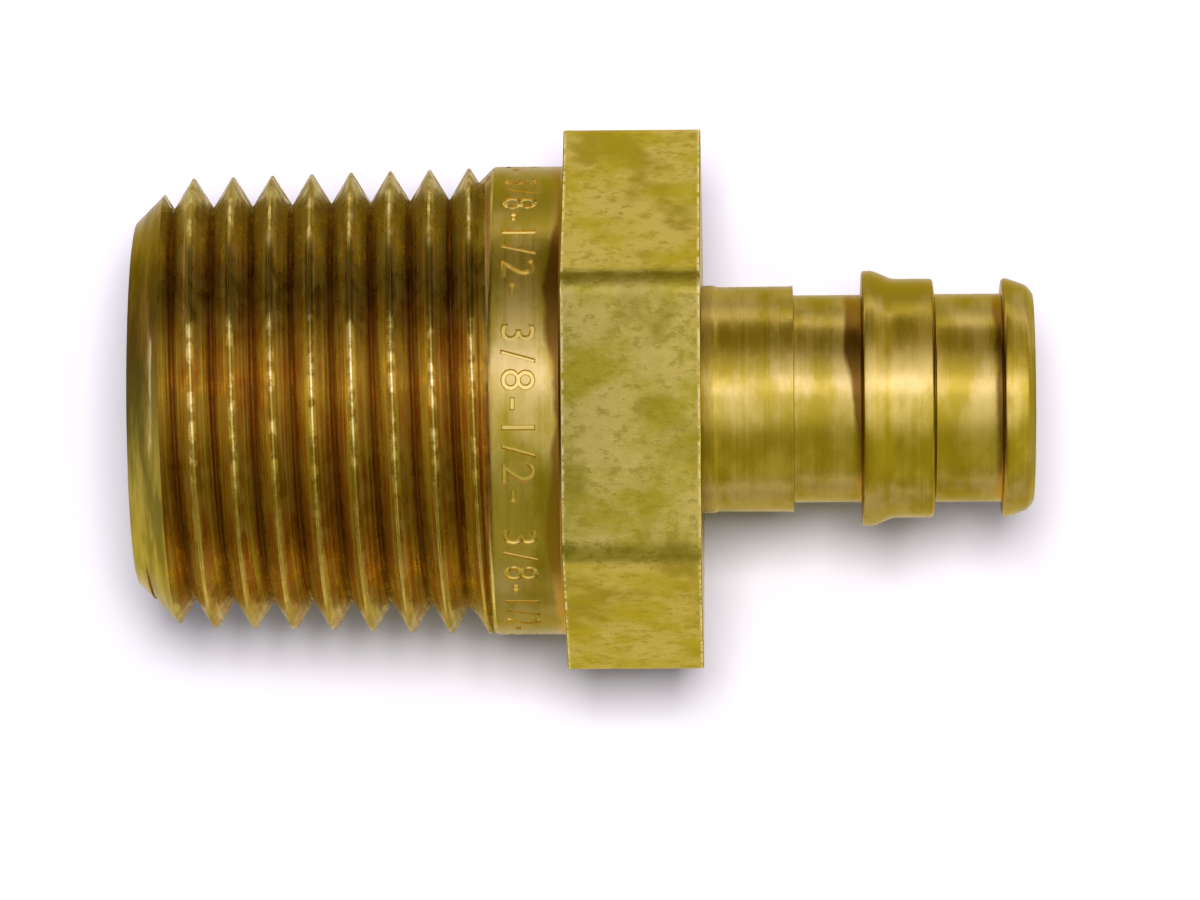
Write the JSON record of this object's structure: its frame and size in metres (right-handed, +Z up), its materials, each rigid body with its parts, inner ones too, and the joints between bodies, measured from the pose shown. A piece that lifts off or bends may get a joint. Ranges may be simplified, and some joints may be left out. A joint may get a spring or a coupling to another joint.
{
  "type": "pex male adapter",
  "caption": "Brass adapter with a tapered male pipe thread, a spanner hexagon and a ribbed spigot for expanded plastic tube.",
  "frame": {"origin": "on the bore's axis, in the hexagon's tube-side face, where the tube butts", "axes": "+X along the axis towards the tube, -X out of the threaded end, +Z up and square to two hexagon flats, +Y across the corners"},
  "size_m": [0.0413, 0.025, 0.022],
  "materials": {
    "brass": "drawn flats, turned and satin elsewhere"
  },
  "bodies": {
    "root": {"adapter_body": "brass"}
  },
  "joints": []
}
